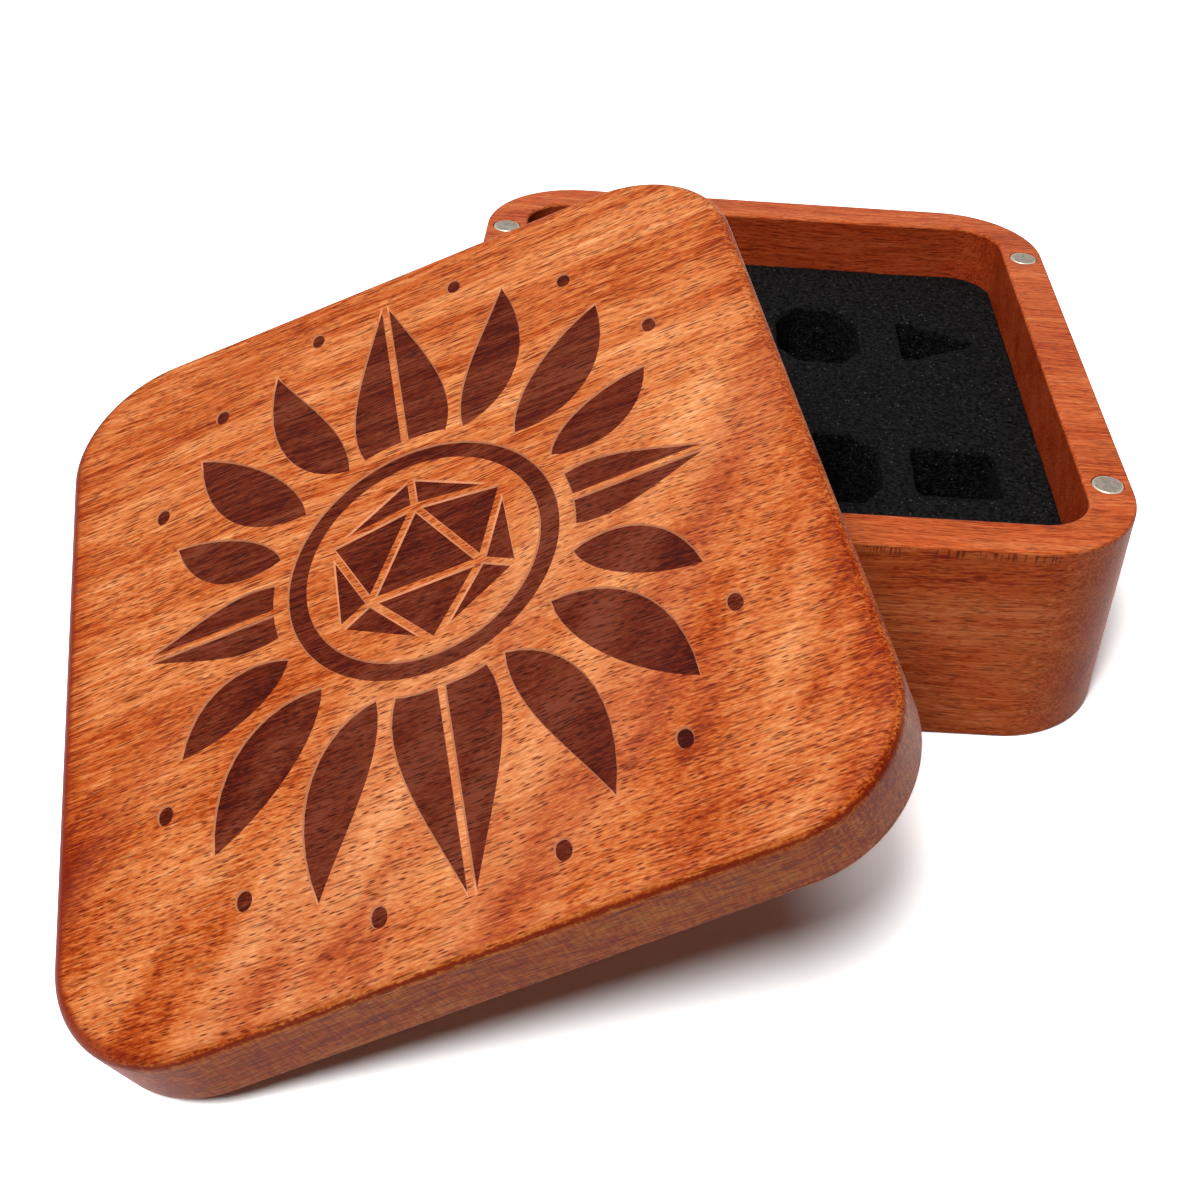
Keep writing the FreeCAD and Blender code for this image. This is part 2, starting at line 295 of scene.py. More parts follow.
def burnish_and_shade_line(tree, board, outline, colour, burnish_and_shade):
    """Where the sander rounds the upper edge over, it leaves a thin, ragged, dark red line. Down the
    left-hand side the line is partly painted shade.
    """
    middle, reach, darkest = burnish_and_shade
    spots = add(tree, "ShaderNodeSeparateXYZ", {0: board}).outputs
    ragged = add(
        tree, "ShaderNodeTexNoise", {"Vector": board, "Scale": 1.1, "Detail": 4, "Roughness": 0.75}
    )
    away = add(
        tree, "ShaderNodeMath", {0: ragged.outputs["Fac"], 1: LINE_STRAY, 2: spots["Z"]},
        operation="MULTIPLY_ADD",
    ).outputs[0]
    away = add(
        tree, "ShaderNodeMath", {0: away, 1: middle + LINE_STRAY / 2}, operation="SUBTRACT"
    ).outputs[0]
    away = add(tree, "ShaderNodeMath", {0: away}, operation="ABSOLUTE").outputs[0]
    band = add(
        tree, "ShaderNodeMapRange",
        {"Value": away, "From Min": reach, "From Max": reach * LINE_CORE, "To Max": LINE_SHARE},
    ).outputs[0]
    # little of it is left up the right-hand side
    sanded = share_inside(tree, [(spots["X"], *THIN_ACROSS), (spots["Y"], *THIN_ALONG)])
    kept = add(tree, "ShaderNodeMath", {0: 1.0, 1: sanded}, operation="SUBTRACT").outputs[0]
    band = add(tree, "ShaderNodeMath", {0: band, 1: kept}, operation="MULTIPLY").outputs[0]
    # down the left-hand side it runs higher, as far as the flat top, partly as painted shade of the
    # lid's left edge
    left = share_inside(
        tree, [(spots["X"], *LEFT_ACROSS), (outline, *LEFT_INSIDE)], most=LINE_SHARE
    )
    band = add(tree, "ShaderNodeMath", {0: band, 1: left}, operation="MAXIMUM").outputs[0]
    return add(
        tree, "ShaderNodeMix", {SHARE: band, FIRST: colour, SECOND: linear(darkest)}, data_type="RGBA"
    ).outputs[MIXED]


def tear_edge(tree, board, colour, torn):
    """Just under the front edge the cutter has torn the fibre into short dark upright ticks."""
    lowest, highest, front = torn
    ticks = add(
        tree, "ShaderNodeMapping", {"Vector": board, "Scale": TICK_SIZE}, vector_type="TEXTURE"
    ).outputs[0]
    spots = add(tree, "ShaderNodeSeparateXYZ", {0: board}).outputs
    ticks = share_inside(
        tree,
        [
            (spots["Z"], lowest, lowest + 1.2),
            (spots["Z"], highest, highest - 0.3),
            (spots["Y"], front, front - 0.4),
        ],
        most=patches(tree, ticks, 1, 2, (0.5, 0.66), TICK_SHARE),
    )
    return add(
        tree, "ShaderNodeMix", {SHARE: ticks, FIRST: colour, SECOND: linear(TICK_COLOUR)},
        data_type="RGBA",
    ).outputs[MIXED]


def padauk(
    tree, home, tones, contrast, porous, figured=None, marks=(), burnish_and_shade=None, torn=None, golden=None
):
    """Padauk, quarter-sawn, sanded and oiled: streaky orange-red fibre, fine dark open pores that
    lie as dashes along the grain, and soft bands of figure across it.
    Gives its colour and its surface height in millimetres."""
    board = board_coordinates(tree, home)
    drifted = drift_grain(tree, board)
    crossing = add(
        tree, "ShaderNodeMapping",
        {"Vector": board, "Rotation": (0, 0, FIGURE_TURN), "Scale": FIGURE_ROOM}, vector_type="TEXTURE",
    ).outputs[0]
    # how figured the wood is, from 0 to 1 across the board
    zone = 0.0
    if figured:
        direction, start, end = figured
        reach = add(
            tree, "ShaderNodeVectorMath", {0: board, 1: direction}, operation="DOT_PRODUCT"
        ).outputs["Value"]
        zone = add(
            tree, "ShaderNodeMapRange", {"Value": reach, "From Min": start, "From Max": end},
            interpolation_type="SMOOTHSTEP",
        ).outputs[0]
    if burnish_and_shade:
        # the figure doesn't show on the board's narrow sides
        outline = from_outline(tree, board)
        side = share_inside(tree, [(outline, TOP_ENDS, SIDE_BEGINS)])
        flat = add(tree, "ShaderNodeMath", {0: 1.0, 1: side}, operation="SUBTRACT").outputs[0]
        zone = add(tree, "ShaderNodeMath", {0: zone, 1: flat}, operation="MULTIPLY").outputs[0]

    tone = lay_streaks(tree, drifted, crossing, zone, contrast)
    if burnish_and_shade:
        tone = hatch_sides(tree, board, side, tone)
    fibre_tone = tone
    tone = lay_marks(tree, drifted, tone, marks)
    if burnish_and_shade:
        # oil soaks in from the edges, which are darker and redder
        soaked = add(
            tree, "ShaderNodeMapRange",
            {"Value": outline, "From Min": SOAK_STARTS, "From Max": SOAK_ENDS, "To Max": -SOAK_DEPTH},
        ).outputs[0]
        tone = add(tree, "ShaderNodeMath", {0: soaked, 1: tone}, operation="ADD").outputs[0]
    colour = add(tree, "ShaderNodeValToRGB", {"Fac": tone}, stops=tones).outputs["Color"]
    if golden:
        # patches of browner, yellower wood, drawn out along the grain
        most, brown = golden
        drawn_out = add(
            tree, "ShaderNodeMapping", {"Vector": drifted, "Scale": (18, 7, 7)}, vector_type="TEXTURE"
        ).outputs[0]
        share = patches(tree, drawn_out, 1, 3, (0.47, 0.62), most)
        colour = add(
            tree, "ShaderNodeMix", {SHARE: share, FIRST: colour, SECOND: linear(brown)}, data_type="RGBA"
        ).outputs[MIXED]
    if figured:
        # rosy patches among the figure
        share = patches(tree, crossing, 0.8, 1, (0.48, 0.62), ROSY_SHARE)
        share = add(tree, "ShaderNodeMath", {0: share, 1: zone}, operation="MULTIPLY").outputs[0]
        colour = add(
            tree, "ShaderNodeMix", {SHARE: share, FIRST: colour, SECOND: linear(ROSY)}, data_type="RGBA"
        ).outputs[MIXED]
    if burnish_and_shade:
        # the narrow sides are browner than the top
        colour = add(
            tree, "ShaderNodeMix", {SHARE: side, FIRST: colour, SECOND: linear(SIDE_TINT)},
            data_type="RGBA", blend_type="MULTIPLY",
        ).outputs[MIXED]

    shade = open_pores(tree, drifted, zone)
    share = add(tree, "ShaderNodeMath", {0: shade, 1: porous}, operation="MULTIPLY").outputs[0]
    colour = add(
        tree, "ShaderNodeMix", {SHARE: share, FIRST: colour, SECOND: linear(PORE_COLOUR)}, data_type="RGBA"
    ).outputs[MIXED]
    height = add(tree, "ShaderNodeMath", {0: fibre_tone, 1: FIBRE_RELIEF}, operation="MULTIPLY").outputs[0]
    height = add(
        tree, "ShaderNodeMath", {0: shade, 1: -PORE_DEPTH, 2: height}, operation="MULTIPLY_ADD"
    ).outputs[0]
    if burnish_and_shade:
        colour = burnish_and_shade_line(tree, board, outline, colour, burnish_and_shade)
    if torn:
        colour = tear_edge(tree, board, colour, torn)
    return colour, height


def finish_wood(name, home, look, stain_and_shade=None, roughness=0.45):
    """Oiled wood with a low sheen. The tint over it is for wood that a tool has changed: routed, charred
    or cut. On the routed walls the darker tint is partly painted shade of the cavity.
    """
    material, tree = new_material(name)
    colour, height = padauk(tree, home, **look)
    if stain_and_shade:
        blend, share, tint = stain_and_shade
        colour = add(
            tree, "ShaderNodeMix", {SHARE: share, FIRST: colour, SECOND: linear(tint)},
            data_type="RGBA", blend_type=blend,
        ).outputs[MIXED]
    bump = add(tree, "ShaderNodeBump", {"Height": height, "Strength": 0.5, "Distance": MM})
    surface = add(
        tree, "ShaderNodeBsdfPrincipled",
        {
            "Base Color": colour, "Roughness": roughness, "IOR": 1.5, "Specular IOR Level": 0.07,
            "Normal": bump.outputs[0],
        },
    )
    add(tree, "ShaderNodeOutputMaterial", {"Surface": surface.outputs[0]})
    return material


FOAM_CELL, FOAM_PATCH = 0.6 * MM, 0.9 * MM


def open_cell_foam(name):
    """Black polyurethane foam: matt, pitted by open cells 0.6 mm wide, a few of which glint."""
    material, tree = new_material(name)
    place = add(tree, "ShaderNodeTexCoord").outputs["Object"]
    cells = add(tree, "ShaderNodeTexVoronoi", {"Vector": place, "Scale": 1 / FOAM_CELL})
    cloud = add(
        tree, "ShaderNodeTexNoise",
        {"Vector": place, "Scale": 1 / FOAM_PATCH, "Detail": 3, "Roughness": 0.7},
    )
    chance = add(tree, "ShaderNodeSeparateXYZ", {0: cells.outputs["Color"]}).outputs[0]
    glint = share_inside(tree, [(chance, 0.9, 1), (cells.outputs["Distance"], 0.45, 0.1)])
    base = add(
        tree, "ShaderNodeValToRGB", {"Fac": cloud.outputs["Fac"]},
        stops=((0.4, "#030303"), (0.62, "#1F1E1E")),
    ).outputs[0]
    colour = add(
        tree, "ShaderNodeMix", {SHARE: glint, FIRST: base, SECOND: linear("#5A5856")}, data_type="RGBA"
    ).outputs[MIXED]
    bump = add(
        tree, "ShaderNodeBump",
        {"Height": cells.outputs["Distance"], "Strength": 0.9, "Distance": 0.4 * MM},
    )
    surface = add(
        tree, "ShaderNodeBsdfPrincipled",
        {
            "Base Color": colour, "Roughness": 0.95, "IOR": 1.5, "Specular IOR Level": 0.05,
            "Normal": bump.outputs[0],
        },
    )
    add(tree, "ShaderNodeOutputMaterial", {"Surface": surface.outputs[0]})
    return material


SCUFF_SIZE = 0.8 * MM
# Where the painted highlight round a magnet's rim starts and is full, out from its middle, and its share
# of the colour.
RIM_HIGHLIGHT_STARTS, RIM_HIGHLIGHT_ENDS, RIM_HIGHLIGHT_SHARE = 2.5, 2.75, 0.8


def nickel_plate(name, home):
    """Nickel plate on a pressed magnet: warm grey metal, dulled by handling, scuffed with fine
    scratches, and with a painted highlight round the rim."""
    material, tree = new_material(name)
    place = add(tree, "ShaderNodeTexCoord").outputs["Object"]
    scuffs = add(
        tree, "ShaderNodeTexNoise",
        {"Vector": place, "Scale": 1 / SCUFF_SIZE, "Detail": 5, "Roughness": 0.7},
    ).outputs["Fac"]
    rough = add(tree, "ShaderNodeMapRange", {"Value": scuffs, "To Min": 0.3, "To Max": 0.5}).outputs[0]
    bump = add(tree, "ShaderNodeBump", {"Height": scuffs, "Strength": 0.35, "Distance": 0.05 * MM})
    dulled = add(
        tree, "ShaderNodeValToRGB", {"Fac": scuffs}, stops=((0.35, "#7C7266"), (0.6, "#A2988A"))
    ).outputs[0]
    # how far a point is from the middle of its magnet, the four of them folded into one
    folded = add(
        tree, "ShaderNodeVectorMath", {0: board_coordinates(tree, home)}, operation="ABSOLUTE"
    ).outputs[0]
    away = add(
        tree, "ShaderNodeVectorMath", {0: folded, 1: (*MAGNET_PLACE, 0)}, operation="SUBTRACT"
    ).outputs[0]
    away = add(tree, "ShaderNodeVectorMath", {0: away, 1: (1, 1, 0)}, operation="MULTIPLY").outputs[0]
    away = add(tree, "ShaderNodeVectorMath", {0: away}, operation="LENGTH").outputs["Value"]
    # a painted highlight: each magnet is lighter all round its rim
    painted_rim_highlight = add(
        tree, "ShaderNodeMapRange",
        {"Value": away, "From Min": RIM_HIGHLIGHT_STARTS, "From Max": RIM_HIGHLIGHT_ENDS, "To Max": RIM_HIGHLIGHT_SHARE},
    ).outputs[0]
    colour = add(
        tree, "ShaderNodeMix", {SHARE: painted_rim_highlight, FIRST: dulled, SECOND: linear("#D2C9B6")}, data_type="RGBA"
    ).outputs[MIXED]
    surface = add(
        tree, "ShaderNodeBsdfPrincipled",
        {"Base Color": colour, "Metallic": 1.0, "Roughness": rough, "Normal": bump.outputs[0]},
    )
    add(tree, "ShaderNodeOutputMaterial", {"Surface": surface.outputs[0]})
    return material


# ---------------------------------------------------------------- shaping

# How far off a level a point may be and still count as at it.
LEVEL_SLACK = 1e-3
# How far up or down a face's normal points, at least in a flat face and at most in a wall.
FLAT, WALL_TILT = 0.999, 0.001


def block(bm, width, depth, radius, start, end):
    """A block with four round upright corners, raised or sunk from one level to another.
    Gives the face at each level."""
    earlier = set(bm.faces)
    corners = bmesh.ops.create_grid(bm, x_segments=1, y_segments=1, size=0.5)["verts"]
    bmesh.ops.scale(bm, vec=(width, depth, 1), verts=corners)
    bmesh.ops.translate(bm, vec=(0, 0, start), verts=corners)
    bmesh.ops.bevel(
        bm, geom=corners, offset=radius, offset_type="OFFSET", affect="VERTICES",
        segments=24, profile=0.5, material=-1,
    )
    first = next(f for f in bm.faces if f not in earlier)
    moved = bmesh.ops.extrude_face_region(bm, geom=[first])["geom"]
    verts = [v for v in moved if isinstance(v, bmesh.types.BMVert)]
    bmesh.ops.translate(bm, vec=(0, 0, end - start), verts=verts)
    return first, next(f for f in moved if isinstance(f, bmesh.types.BMFace))


def trace_circle(bm, radius, segments, place):
    """Draw a circle, or an even outline with few sides. Gives its edges."""
    verts = bmesh.ops.create_circle(
        bm, radius=radius, segments=segments, cap_ends=False, matrix=place
    )["verts"]
    return list({e for v in verts for e in v.link_edges})


def draw_walls(bm, edges, height):
    """Draw edges up or down into walls. Gives the new points, edges and faces."""
    walls = bmesh.ops.extrude_edge_only(bm, edges=edges)["geom"]
    verts = [v for v in walls if isinstance(v, bmesh.types.BMVert)]
    bmesh.ops.translate(bm, vec=(0, 0, height), verts=verts)
    return walls


def ease(bm, edges, radius, segments):
    """Round a run of edges."""
    bmesh.ops.bevel(
        bm, geom=edges, offset=radius, offset_type="OFFSET", affect="EDGES",
        segments=segments, profile=0.5, material=-1,
    )


def at_level(things, level):
    """The faces or edges that lie flat at this level."""
    return [t for t in things if all(abs(v.co.z - level) < LEVEL_SLACK for v in t.verts)]


def sink_bores(bm, level, depth):
    """A flat-bottomed bore for each magnet, open at this level."""
    across, along = MAGNET_PLACE
    for x in (-across, across):
        for y in (-along, along):
            mouth = trace_circle(bm, BORE_RADIUS, 48, Matrix.Translation((x, y, level)))
            walls = draw_walls(bm, mouth, depth)
            edges = [e for e in walls if isinstance(e, bmesh.types.BMEdge)]
            bmesh.ops.edgeloop_fill(bm, edges=at_level(edges, level + depth))


def face_off(bm, level):
    """Close the flat surface at this level, round every outline that is open there."""
    rims = [e for e in at_level(bm.edges, level) if len(e.link_faces) < 2]
    bmesh.ops.triangle_fill(bm, edges=rims, use_beauty=True)


def shade(bm):
    """Flat surfaces stay flat, and round ones are smooth up to the walls that they meet."""
    bmesh.ops.recalc_face_normals(bm, faces=bm.faces)
    for face in bm.faces:
        face.smooth = abs(face.normal.z) < FLAT
    for edge in bm.edges:
        edge.smooth = len({abs(face.normal.z) < WALL_TILT for face in edge.link_faces}) < 2


def to_piece(bm, name, materials, body, home=Matrix()):
    """Take a mesh from millimetres in its home frame to metres in the row frame, and let it ride
    on a body."""
    bmesh.ops.transform(bm, matrix=home @ Matrix.Scale(MM, 4), verts=bm.verts)
    mesh = bpy.data.meshes.new(name)
    bm.to_mesh(mesh)
    bm.free()
    for material in materials:
        mesh.materials.append(material)
    piece = bpy.data.objects.new(name, mesh)
    scene.collection.objects.link(piece)
    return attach(piece, body)


# ---------------------------------------------------------------- the box

def make_box(wood, routed):
    """A block routed out to even walls, with its rim eased and four magnet bores in it."""
    bm = bmesh.new()
    bottom, top = block(bm, WIDTH, DEPTH, CORNER_RADIUS, 0, BOX_HEIGHT)
    mouth = block(bm, WIDTH - 2 * WALL, DEPTH - 2 * WALL, CAVITY_RADIUS, BOX_HEIGHT, FLOOR)[0]
    bmesh.ops.delete(bm, geom=[top, mouth], context="FACES_ONLY")
    rims = [e for e in at_level(bm.edges, BOX_HEIGHT) if len(e.link_faces) < 2]
    bmesh.ops.bridge_loops(bm, edges=rims)
    bmesh.ops.recalc_face_normals(bm, faces=bm.faces)
    ease(bm, rims, EDGE_EASE, 4)
    ease(bm, list(bottom.edges), EDGE_EASE, 2)
    bmesh.ops.delete(bm, geom=at_level(bm.faces, BOX_HEIGHT), context="FACES")
    sink_bores(bm, BOX_HEIGHT, -BORE_DEPTH)
    face_off(bm, BOX_HEIGHT)
    # the cavity's walls and floor have the routed finish, darker than the outside: partly the finish
    # and partly painted shade of the cavity
    slack = 0.1
    for face in bm.faces:
        middle = face.calc_center_median()
        inside = abs(middle.x) < WIDTH / 2 - WALL + slack and abs(middle.y) < DEPTH / 2 - WALL + slack
        if inside and FLOOR - slack < middle.z < BOX_HEIGHT - EDGE_EASE:
            face.material_index = 1
    shade(bm)
    return to_piece(bm, "routed_box", [wood, routed], "box")


# ---------------------------------------------------------------- the lid

def lid_home():
    """The lid's own frame, from the middles of three of its magnets. Its underside is level 0, and X
    runs along the grain."""
    middles = {}
    for corner in ("front_left", "front_right", "back_left"):
        low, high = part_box(f"lid_magnet_{corner}")
        middles[corner] = (low + high) / 2
    across = (middles["front_right"] - middles["front_left"]).normalized()
    along = (middles["back_left"] - middles["front_left"]).normalized()
    up = across.cross(along)
    centre = (middles["front_right"] + middles["back_left"]) / 2 - up * BORE_DEPTH / 2 * MM
    home = Matrix((across, along, up)).transposed().to_4x4()
    home.translation = centre
    return home


# One quarter of the engraved sunburst round the die, in millimetres from its middle. Each outline is
# a closed run of Bezier points: the handle before, the point and the handle after it. It is mirrored
# to the other three quarters.
SUNBURST = [
    # half of the long ray
    [
        ((0.5, 34), (0.5, 26), (2.4, 26)), ((5, 26), (7.4, 25), (11.4, 35)),
        ((5, 48), (0.5, 62), (0.5, 50)),
    ],
    # the flames beside it, from the tallest to the lowest
    [((9.4, 35), (10.2, 24.2), (19.5, 25.5)), ((27, 37), (22, 55), (17.5, 45))],
    [((19, 27), (18.6, 18.2), (28, 17)), ((38, 24), (37.5, 41), (28.5, 37))],
    [((25, 16.5), (23.6, 10.4), (30.5, 7.2)), ((40, 9.5), (42.5, 22), (34, 21.5))],
    # half of the short ray
    [
        ((34, 0.5), (25.6, 0.5), (25.6, 2)), ((25.4, 3.8), (25, 5.6), (33, 8)),
        ((40, 3), (49, 0.5), (38, 0.5)),
    ],
    # beads between the points
    [((11.6, 58), (13.4, 58), (15.2, 58)), ((15.2, 61.6), (13.4, 61.6), (11.6, 61.6))],
    [((31.2, 48), (33, 48), (34.8, 48)), ((34.8, 51.6), (33, 51.6), (31.2, 51.6))],
    [((43.2, 29), (45, 29), (46.8, 29)), ((46.8, 32.6), (45, 32.6), (43.2, 32.6))],
]
RING_OUTSIDE, RING_INSIDE, DIE_RADIUS, FACET_GAP = 23.2, 19.8, 17.6, 0.5
# How far out the outline's corners are on a die seen square to a face, as a share of the radius of
# the ball that the die fits.
DIE_SPREAD = 0.982


def trace_sunburst(bm, level):
    """Draw the outlines of the sunburst on the board and give their faces."""
    curve = bpy.data.curves.new("sunburst", "CURVE")
    curve.resolution_u = 12
    for outline in SUNBURST:
        for side in (-1, 1):
            for end in (-1, 1):
                spline = curve.splines.new("BEZIER")
                spline.use_cyclic_u = True
                spline.bezier_points.add(len(outline) - 1)
                for point, (before, at, after) in zip(spline.bezier_points, outline):
                    point.handle_left_type = point.handle_right_type = "FREE"
                    point.handle_left = (side * before[0], end * before[1], level)
                    point.co = (side * at[0], end * at[1], level)
                    point.handle_right = (side * after[0], end * after[1], level)
    drawing = bpy.data.objects.new("sunburst", curve)
    mesh = bpy.data.meshes.new_from_object(drawing)
    known = set(bm.edges)
    bm.from_mesh(mesh)
    bpy.data.objects.remove(drawing)
    return bmesh.ops.edgeloop_fill(bm, edges=[e for e in bm.edges if e not in known])["faces"]


def trace_ring(bm, level):
    """Draw a ring and give its faces and the edges inside it."""
    outside, inside = (
        trace_circle(bm, radius, 96, Matrix.Translation((0, 0, level)))
        for radius in (RING_OUTSIDE, RING_INSIDE)
    )
    return bmesh.ops.bridge_loops(bm, edges=outside + inside)["faces"], inside


def trace_die(bm, level):
    """Draw a twenty-sided die seen square to one face. Gives its ten facets, with a gap round each,
    and its outline."""
    verts = bmesh.ops.create_icosphere(bm, subdivisions=1, radius=DIE_RADIUS / DIE_SPREAD)["verts"]
    bm.normal_update()
    faces = list({f for v in verts for f in v.link_faces})
    facing = max(faces, key=lambda face: face.normal.z)
    turn = facing.normal.rotation_difference(Vector((0, 0, 1))).to_matrix()
    bmesh.ops.rotate(bm, cent=(0, 0, 0), matrix=turn, verts=verts)
    bm.normal_update()
    hidden = [f for f in faces if f.normal.z < 0]
    shown = [f for f in faces if f not in hidden]
    bmesh.ops.delete(bm, geom=hidden, context="FACES")
    verts = list({v for f in shown for v in f.verts})
    point = facing.verts[0].co
    upright = Matrix.Rotation(pi / 2 - atan2(point.y, point.x), 3, "Z")
    bmesh.ops.rotate(bm, cent=(0, 0, 0), matrix=upright, verts=verts)
    bmesh.ops.scale(bm, vec=(1, 1, 0), verts=verts)
    bmesh.ops.translate(bm, vec=(0, 0, level), verts=verts)
    bm.normal_update()
    gaps = bmesh.ops.inset_individual(
        bm, faces=shown, thickness=FACET_GAP, use_even_offset=True
    )["faces"]
    return shown, [e for e in {e for f in gaps for e in f.edges} if len(e.link_faces) == 1]


def make_lid(wood, char, cut, home):
    """A flat board with a rounded upper edge, four bores below, and the engraving above."""
    bm = bmesh.new()
    bottom, top = block(bm, WIDTH, DEPTH, CORNER_RADIUS, 0, LID_THICKNESS)
    ease(bm, list(top.edges), LID_ROUNDOVER, 10)
    ease(bm, list(bottom.edges), LID_EASE, 2)
    flats = at_level(bm.faces, 0) + at_level(bm.faces, LID_THICKNESS)
    bmesh.ops.delete(bm, geom=flats, context="FACES_ONLY")
    sink_bores(bm, 0, BORE_DEPTH)
    face_off(bm, 0)
    facets, die_outline = trace_die(bm, LID_THICKNESS)
    ring, ring_inside = trace_ring(bm, LID_THICKNESS)
    bmesh.ops.triangle_fill(bm, edges=die_outline + ring_inside, use_beauty=True)
    engraved = facets + ring + trace_sunburst(bm, LID_THICKNESS)
    face_off(bm, LID_THICKNESS)
    for face in at_level(bm.faces, LID_THICKNESS):
        face.normal_update()
        if face.normal.z < 0:
            face.normal_flip()
    bm.normal_update()
    slopes = bmesh.ops.inset_region(
        bm, faces=engraved, use_boundary=True, use_even_offset=True,
        thickness=ENGRAVED_SLOPE, depth=-ENGRAVED_DEPTH,
    )["faces"]
    for face in engraved:
        face.material_index = 1
    for face in slopes:
        face.material_index = 2
    shade(bm)
    return to_piece(bm, "engraved_lid", [wood, char, cut], "lid", home)


# ---------------------------------------------------------------- the foam

def foam_sheet(bm, bottom, top, pockets=()):
    """A sheet of foam that fills the cavity, cut through by the pockets."""
    inset = 2 * (WALL + FOAM_GAP)
    outline, other = block(
        bm, WIDTH - inset, DEPTH - inset, CAVITY_RADIUS - FOAM_GAP, bottom, top
    )
    if pockets:
        bmesh.ops.delete(bm, geom=[outline, other], context="FACES_ONLY")
        for x, y, shape in pockets:
            shape(bm, Matrix.Translation((x, y, bottom)), top - bottom)
        face_off(bm, bottom)
        face_off(bm, top)


def straight_pocket(sides, radius, turn=0):
    """A maker of pockets with this many equal sides, and a point towards the back unless turned."""

    def cut(bm, place, depth):
        turned = place @ Matrix.Rotation(radians(turn), 4, "Z")
        draw_walls(bm, trace_circle(bm, radius, sides, turned), depth)

    return cut


def long_pocket(bm, place, depth):
    """The pocket for a ten-sided die: an oblong with its four corners cut off."""
    earlier = set(bm.faces)
    verts = bmesh.ops.create_grid(bm, x_segments=1, y_segments=1, size=9)["verts"]
    bmesh.ops.bevel(
        bm, geom=verts, offset=4.5, offset_type="OFFSET", affect="VERTICES",
        segments=1, profile=0.5, material=-1,
    )
    face = next(f for f in bm.faces if f not in earlier)
    verts, edges = list(face.verts), list(face.edges)
    bmesh.ops.scale(bm, vec=(1, 4 / 3, 1), verts=verts)
    bmesh.ops.transform(bm, matrix=place, verts=verts)
    bmesh.ops.delete(bm, geom=[face], context="FACES_ONLY")
    draw_walls(bm, edges, depth)


POCKETS = [
    (36, 27, straight_pocket(3, 19.5 / 3**0.5, turn=-90)),
    (36, -27, straight_pocket(4, 16.5 / 2**0.5, turn=45)),
    (12, 27, long_pocket),
    (12, -27, long_pocket),
    (-12, 27, straight_pocket(10, 10.75)),
    (-12, -27, straight_pocket(6, 10)),
    (-36, 0, straight_pocket(6, 12)),
]


# The foam's skin swells and sinks: over how many millimetres, and by how many at most.
SWELLS, SINK = [(7, 0.16), (1.3, 0.16)], 0.12


def make_foam(name, foam, bottom, top, grain, pockets=()):
    """A piece of foam with soft, slightly uneven edges and skin. grain is the size of its mesh."""
    bm = bmesh.new()
    foam_sheet(bm, bottom, top, pockets)
    bmesh.ops.recalc_face_normals(bm, faces=bm.faces)
    piece = to_piece(bm, name, [foam], "box")
    skin = piece.modifiers.new("skin", "REMESH")
    skin.mode, skin.voxel_size = "VOXEL", grain * MM
    depsgraph = bpy.context.evaluated_depsgraph_get()
    mesh = bpy.data.meshes.new_from_object(piece.evaluated_get(depsgraph))
    piece.modifiers.clear()
    bm = bmesh.new()
    bm.from_mesh(mesh)
    bmesh.ops.smooth_vert(
        bm, verts=bm.verts, factor=0.5, use_axis_x=True, use_axis_y=True, use_axis_z=True
    )
    bm.normal_update()
    for vert in bm.verts:
        swell = sum(noise.noise(vert.co / (span * MM)) * reach for span, reach in SWELLS) - SINK
        vert.co += vert.normal * swell * MM
    for face in bm.faces:
        face.smooth = True
    bm.to_mesh(piece.data)
    bm.free()
    return piece


# ---------------------------------------------------------------- build the chest

# What padauk() is told of the wood. The tones run from dark to light. golden is the most share of the
# browner patches, and their colour. torn is the lowest and highest level of the torn fibre, and how
# far forward it starts. figured is the way to the figured end, and where the figure starts and is
# full. burnish_and_shade is the level of the dark line round the upper edge, half its width, and its
# colour; down the left-hand side that line is partly painted shade. marks are darker or paler places:
# the middle, the reach along and across the grain, the turn, and how much darker.
BOX_LOOK = {
    "tones": (
        (0.0, "#8C280A"), (0.25, "#B0481C"), (0.5, "#C65829"), (0.75, "#D06736"), (1.0, "#DE7C4A"),
    ),
    "contrast": 1.15,
    "porous": 0.7,
    "golden": (0.2, "#BA6A36"),
    "torn": (39.2, 41.6, 0.6 - DEPTH / 2),
}
LID_LOOK = {
    "tones": (
        (0.0, "#741B02"), (0.18, "#9A3808"), (0.34, "#B6521D"), (0.5, "#C86C35"),
        (0.68, "#D7824A"), (0.85, "#E5965D"), (1.0, "#F4AB75"),
    ),
    "contrast": 0.8,
    "porous": 0.95,
    "figured": ((0.35, -0.94, 0), -20, 26),
    "burnish_and_shade": (11.7, 0.5, "#7C1E06"),
    "marks": [
        (-15, 66, 48, 3.5, 0, 0.45),
        (-38, 49, 32, 4.5, -3, 0.35),
        (30, 44, 30, 3, 2, 0.25),
        (-3, 56, 28, 6, 0, -0.2),
        (-38, 29, 30, 10, 0, -0.15),
        (45, 14, 20, 24, 0, -0.3),
        (43, -20, 9, 20, -33, 0.1),
        (30, -44, 7, 22, -33, 0.2),
        (48, -38, 18, 22, -33, -0.3),
        (-18, -60, 12, 10, -20, 0.25),
        (-66, -34, 22, 26, 0, 0.35),
        (-68, 10, 16, 80, 0, 0.6),
        (-22, -62, 34, 9, 0, 0.3),
        (-40, -40, 26, 24, 0, -0.2),
    ],
}

home = lid_home()
box_wood = finish_wood("oiled_padauk_box", Matrix(), BOX_LOOK)
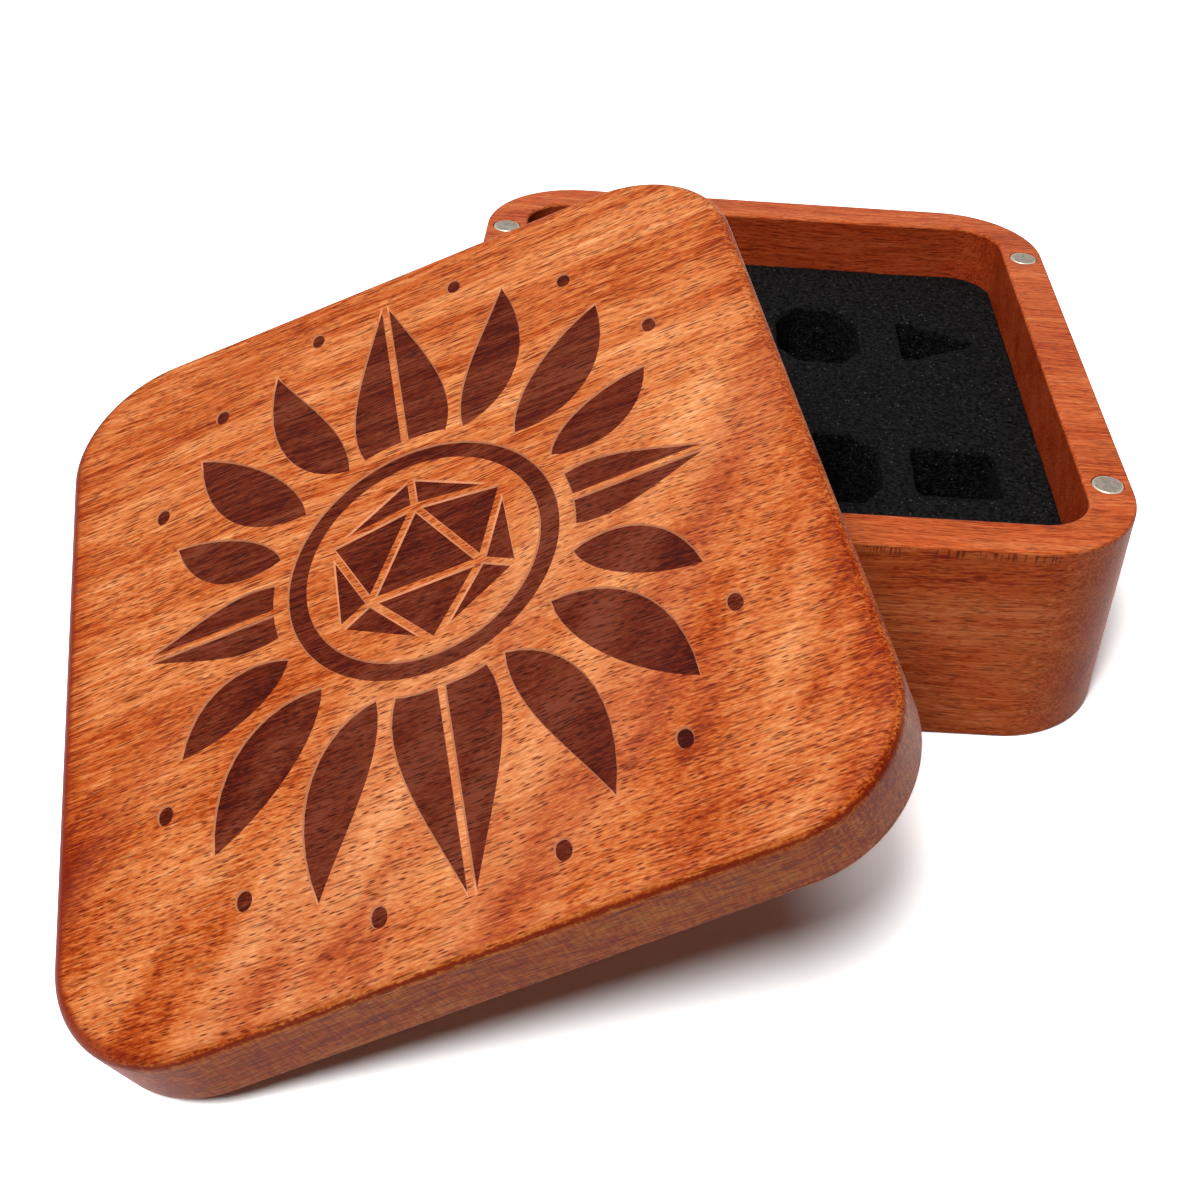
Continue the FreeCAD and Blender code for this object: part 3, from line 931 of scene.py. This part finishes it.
# the routed walls are darker than the outside, partly by their finish and partly as painted shade of the
# cavity
routed_wood_and_painted_shade = finish_wood(
    "routed_padauk_painted_shade", Matrix(), BOX_LOOK, stain_and_shade=("MULTIPLY", 1.0, "#DCB8AC"), roughness=0.6
)
lid_wood = finish_wood("oiled_padauk_lid", home, LID_LOOK)
lid_char = finish_wood(
    "laser_charred_padauk", home, LID_LOOK | {"contrast": 1.4},
    stain_and_shade=("MULTIPLY", 1.0, "#7C585A"), roughness=0.6,
)
lid_cut = finish_wood("laser_cut_edge", home, LID_LOOK, stain_and_shade=("MIX", 0.7, "#E39A70"), roughness=0.6)
foam = open_cell_foam("open_cell_foam")
box_nickel = nickel_plate("nickel_plate_box", Matrix())
lid_nickel = nickel_plate("nickel_plate_lid", home)

box = make_box(box_wood, routed_wood_and_painted_shade)
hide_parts("box_body")
lid = make_lid(lid_wood, lid_char, lid_cut, home)
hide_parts("lid")
tray = make_foam("pocketed_foam", foam, TRAY_BOTTOM, TRAY_TOP, grain=0.7, pockets=POCKETS)
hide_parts("foam_tray")
underlay = make_foam("foam_underlay", foam, FLOOR + SHEET_GAP, TRAY_BOTTOM, grain=1.0)
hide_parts("foam_base_sheet")
for name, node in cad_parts.items():
    if "magnet" in name:
        for material_slot in node.material_slots:
            material_slot.material = lid_nickel if name.startswith("lid") else box_nickel


# ---------------------------------------------------------------- studio

# The surround's light on the object, and the lamps: place in metres, width and power.
AMBIENT = 0.02
LAMPS = [
    ("front_softbox", (-0.35, -0.72, 1.1), 0.5, 14),
    ("overhead_softbox", (-0.3, 0.1, 1.15), 1.0, 7),
]
# The table top: its radius in metres, the grey that it throws back onto the object, and how white it
# is to the eye, over 1 so that the lamps wash it out.
TABLE_RADIUS, TABLE_GREY, TABLE_WHITE = 0.65, "#767676", 2.25


def seen_as_background(tree):
    """1 for rays that look at the background, straight or in a shiny surface, and 0 for those that
    light the object."""
    path = add(tree, "ShaderNodeLightPath").outputs
    seen = path["Is Camera Ray"]
    for other in ("Is Glossy Ray", "Is Transmission Ray"):
        seen = add(tree, "ShaderNodeMath", {0: seen, 1: path[other]}, operation="MAXIMUM").outputs[0]
    return seen


def make_floor():
    """A round white table top, no wider than the lamps light evenly, so that it runs on into the
    white surround."""
    material, tree = new_material("white_paper")
    colour = add(
        tree, "ShaderNodeMix",
        {
            SHARE: seen_as_background(tree), FIRST: linear(TABLE_GREY),
            SECOND: (TABLE_WHITE, TABLE_WHITE, TABLE_WHITE, 1),
        },
        data_type="RGBA",
    ).outputs[MIXED]
    surface = add(tree, "ShaderNodeBsdfDiffuse", {"Color": colour})
    add(tree, "ShaderNodeOutputMaterial", {"Surface": surface.outputs[0]})
    bm = bmesh.new()
    bmesh.ops.create_circle(bm, cap_ends=True, segments=96, radius=TABLE_RADIUS)
    mesh = bpy.data.meshes.new("floor")
    bm.to_mesh(mesh)
    bm.free()
    mesh.materials.append(material)
    floor = bpy.data.objects.new("floor", mesh)
    scene.collection.objects.link(floor)


def light_room():
    """Two soft lamps, one above the camera and one overhead, and a white surround in reflections."""
    world = bpy.data.worlds.new("studio")
    scene.world = world
    world.use_nodes = True
    tree = world.node_tree
    tree.nodes.clear()
    strength = add(
        tree, "ShaderNodeMapRange", {"Value": seen_as_background(tree), "To Min": AMBIENT, "To Max": 1}
    ).outputs[0]
    surround = add(tree, "ShaderNodeBackground", {"Color": linear("#FFFFFF"), "Strength": strength})
    add(tree, "ShaderNodeOutputWorld", {"Surface": surround.outputs[0]})
    for name, place, size, power in LAMPS:
        data = bpy.data.lights.new(name, "AREA")
        data.shape, data.size, data.energy = "DISK", size, power
        lamp = bpy.data.objects.new(name, data)
        lamp.location = place
        lamp.rotation_euler = Vector(place).to_track_quat("Z", "Y").to_euler()
        scene.collection.objects.link(lamp)


make_floor()
light_room()

camera_data = bpy.data.cameras.new("camera")
camera_data.lens, camera_data.sensor_width = 49.19, 36
camera_data.shift_x = camera_data.shift_y = -0.05
camera = bpy.data.objects.new("camera", camera_data)
camera.location = (-0.02794, -0.29734, 0.20084)
camera.rotation_euler = (radians(54.659), radians(-3.469), radians(0.972))
scene.collection.objects.link(camera)
scene.camera = camera
scene.view_settings.view_transform = "Standard"

bpy.context.view_layer.update()
